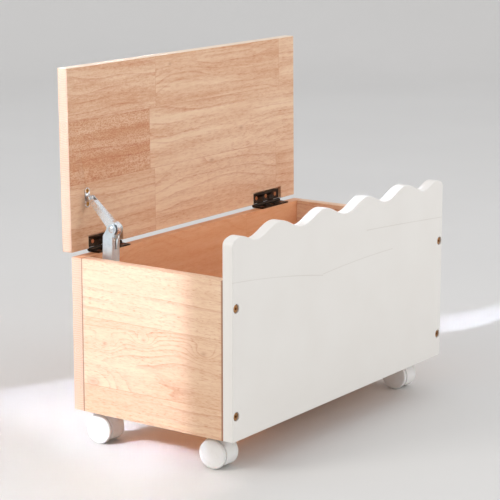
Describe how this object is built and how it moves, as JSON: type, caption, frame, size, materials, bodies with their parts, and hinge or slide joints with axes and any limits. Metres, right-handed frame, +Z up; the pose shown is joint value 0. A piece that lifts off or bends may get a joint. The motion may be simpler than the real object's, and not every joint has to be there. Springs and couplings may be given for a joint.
{
  "type": "wooden toy box",
  "caption": "Rectangular wooden toy box with a wavy painted front panel, a lid on butt hinges with a sprung folding stay, and twin-wheel casters.",
  "frame": {"origin": "bottom centre of the open object's bounding box, on the floor under the wheels", "axes": "+X along the box to the right as seen from the painted front, +Y from the front panel to the hinged back, +Z up"},
  "size_m": [0.6, 0.319, 0.5778],
  "materials": {
    "painted_wood": "satin white paint over wood",
    "solid_wood": "clear satin lacquer on edge-glued staves",
    "plywood": "clear satin lacquer",
    "dowel_wood": "unfinished, fluted",
    "bronzed_bolt": "bronzed, satin",
    "brass_screw": "brass plated",
    "spring_steel": "oiled wire",
    "dark_bronze": "dark bronze lacquer on pressed steel",
    "zinc_steel": "bright zinc plate",
    "white_plastic": "moulded, soft gloss"
  },
  "bodies": {
    "box": {"front_panel": "painted_wood", "back_board": "solid_wood", "left_side_board": "solid_wood", "right_side_board": "solid_wood", "bottom_board": "plywood", "front_bolts": "bronzed_bolt", "back_bolts": "bronzed_bolt", "barrel_nuts": "zinc_steel", "alignment_dowels": "dowel_wood", "rim_hinge_screws": "bronzed_bolt", "stay_base_bracket": "zinc_steel", "stay_base_pin": "zinc_steel", "stay_base_screws": "zinc_steel", "caster_screws": "zinc_steel", "hinge_left_rim_leaf": "dark_bronze", "hinge_left_pin": "dark_bronze", "hinge_right_rim_leaf": "dark_bronze", "hinge_right_pin": "dark_bronze", "caster_front_left_plate": "zinc_steel", "caster_front_right_plate": "zinc_steel", "caster_back_left_plate": "zinc_steel", "caster_back_right_plate": "zinc_steel"},
    "lid": {"lid_panel": "solid_wood", "lid_hinge_screws": "bronzed_bolt", "stay_lid_bracket": "zinc_steel", "stay_lid_pin": "zinc_steel", "stay_lid_screws": "brass_screw", "hinge_left_lid_leaf": "dark_bronze", "hinge_right_lid_leaf": "dark_bronze"},
    "stay_link": {"stay_channel": "zinc_steel", "stay_spring": "spring_steel", "stay_plunger": "brass_screw", "stay_knee_rivet": "zinc_steel"},
    "stay_arm_body": {"stay_arm": "zinc_steel"},
    "caster_front_left": {"caster_front_left_stem": "zinc_steel", "caster_front_left_hood": "white_plastic", "caster_front_left_axle": "zinc_steel"},
    "caster_front_left_wheel_left_body": {"caster_front_left_wheel_left": "white_plastic"},
    "caster_front_left_wheel_right_body": {"caster_front_left_wheel_right": "white_plastic"},
    "caster_front_right": {"caster_front_right_stem": "zinc_steel", "caster_front_right_hood": "white_plastic", "caster_front_right_axle": "zinc_steel"},
    "caster_front_right_wheel_left_body": {"caster_front_right_wheel_left": "white_plastic"},
    "caster_front_right_wheel_right_body": {"caster_front_right_wheel_right": "white_plastic"},
    "caster_back_left": {"caster_back_left_stem": "zinc_steel", "caster_back_left_hood": "white_plastic", "caster_back_left_axle": "zinc_steel"},
    "caster_back_left_wheel_left_body": {"caster_back_left_wheel_left": "white_plastic"},
    "caster_back_left_wheel_right_body": {"caster_back_left_wheel_right": "white_plastic"},
    "caster_back_right": {"caster_back_right_stem": "zinc_steel", "caster_back_right_hood": "white_plastic", "caster_back_right_axle": "zinc_steel"},
    "caster_back_right_wheel_left_body": {"caster_back_right_wheel_left": "white_plastic"},
    "caster_back_right_wheel_right_body": {"caster_back_right_wheel_right": "white_plastic"}
  },
  "joints": [
    {"name": "lid_hinge", "type": "hinge", "parent": "box", "child": "lid", "pos_m": [0, 0.14113, 0.2972], "axis": [1, 0, 0], "range_deg": [0, 90.6]},
    {"name": "stay_foot_pivot", "type": "hinge", "parent": "box", "child": "stay_link", "pos_m": [-0.261, 0.09513, 0.2548], "axis": [1, 0, 0], "range_deg": [0, 90.6]},
    {"name": "stay_knee", "type": "hinge", "parent": "stay_link", "child": "stay_arm_body", "pos_m": [-0.261, 0.08549, 0.33691], "axis": [1, 0, 0], "range_deg": [-90.6, 0]},
    {"name": "caster_front_left_swivel", "type": "hinge", "parent": "box", "child": "caster_front_left", "pos_m": [-0.259, -0.11847, 0.062], "axis": [0, 0, 1], "continuous": true},
    {"name": "caster_front_left_wheel_left_spin", "type": "hinge", "parent": "caster_front_left", "child": "caster_front_left_wheel_left_body", "pos_m": [-0.271, -0.10447, 0.023], "axis": [1, 0, 0], "continuous": true},
    {"name": "caster_front_left_wheel_right_spin", "type": "hinge", "parent": "caster_front_left", "child": "caster_front_left_wheel_right_body", "pos_m": [-0.247, -0.10447, 0.023], "axis": [1, 0, 0], "continuous": true},
    {"name": "caster_front_right_swivel", "type": "hinge", "parent": "box", "child": "caster_front_right", "pos_m": [0.259, -0.11847, 0.062], "axis": [0, 0, 1], "continuous": true},
    {"name": "caster_front_right_wheel_left_spin", "type": "hinge", "parent": "caster_front_right", "child": "caster_front_right_wheel_left_body", "pos_m": [0.247, -0.10447, 0.023], "axis": [1, 0, 0], "continuous": true},
    {"name": "caster_front_right_wheel_right_spin", "type": "hinge", "parent": "caster_front_right", "child": "caster_front_right_wheel_right_body", "pos_m": [0.271, -0.10447, 0.023], "axis": [1, 0, 0], "continuous": true},
    {"name": "caster_back_left_swivel", "type": "hinge", "parent": "box", "child": "caster_back_left", "pos_m": [-0.259, 0.09753, 0.062], "axis": [0, 0, 1], "continuous": true},
    {"name": "caster_back_left_wheel_left_spin", "type": "hinge", "parent": "caster_back_left", "child": "caster_back_left_wheel_left_body", "pos_m": [-0.271, 0.11153, 0.023], "axis": [1, 0, 0], "continuous": true},
    {"name": "caster_back_left_wheel_right_spin", "type": "hinge", "parent": "caster_back_left", "child": "caster_back_left_wheel_right_body", "pos_m": [-0.247, 0.11153, 0.023], "axis": [1, 0, 0], "continuous": true},
    {"name": "caster_back_right_swivel", "type": "hinge", "parent": "box", "child": "caster_back_right", "pos_m": [0.259, 0.09753, 0.062], "axis": [0, 0, 1], "continuous": true},
    {"name": "caster_back_right_wheel_left_spin", "type": "hinge", "parent": "caster_back_right", "child": "caster_back_right_wheel_left_body", "pos_m": [0.247, 0.11153, 0.023], "axis": [1, 0, 0], "continuous": true},
    {"name": "caster_back_right_wheel_right_spin", "type": "hinge", "parent": "caster_back_right", "child": "caster_back_right_wheel_right_body", "pos_m": [0.271, 0.11153, 0.023], "axis": [1, 0, 0], "continuous": true}
  ],
  "couplings": [
    {"joint": "stay_foot_pivot", "follows": "lid_hinge", "ratio": 1},
    {"joint": "stay_knee", "follows": "lid_hinge", "ratio": -1}
  ]
}
